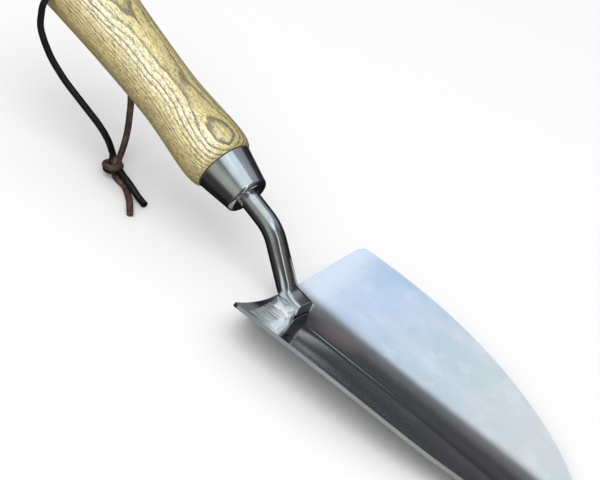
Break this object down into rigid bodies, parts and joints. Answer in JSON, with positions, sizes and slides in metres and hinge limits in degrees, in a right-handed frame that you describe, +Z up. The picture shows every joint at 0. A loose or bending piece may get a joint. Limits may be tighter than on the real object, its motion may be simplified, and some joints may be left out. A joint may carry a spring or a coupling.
{
  "type": "hand transplanter",
  "caption": "Narrow garden hand trowel: a trough-shaped steel blade with a rounded tip, a goose-neck shank, a conical ferrule, a turned wooden handle and a leather hanging loop.",
  "frame": {"origin": "centre of the bounding box of the tool without its thong, at the table plane it lies on", "axes": "+X from the butt towards the blade's tip, +Y to the left of someone looking along +X, +Z up, away from the table"},
  "size_m": [0.3324, 0.081, 0.0903],
  "materials": {
    "polished_steel": "polished stainless sheet with faint brushing",
    "shank_steel": "satin, drawn bar",
    "weld_metal": "ground weld",
    "ferrule_steel": "mirror polished",
    "ash_wood": "oiled open-grain ash",
    "thong_leather": "round dyed leather lace, satin"
  },
  "bodies": {
    "root": {"blade": "polished_steel", "shank": "shank_steel", "weld_right": "weld_metal", "weld_left": "weld_metal", "ferrule": "ferrule_steel", "handle": "ash_wood", "thong_right_leg": "thong_leather", "thong_left_leg": "thong_leather", "thong_knot": "thong_leather", "thong_straight_tail": "thong_leather", "thong_bent_tail": "thong_leather"}
  },
  "joints": []
}
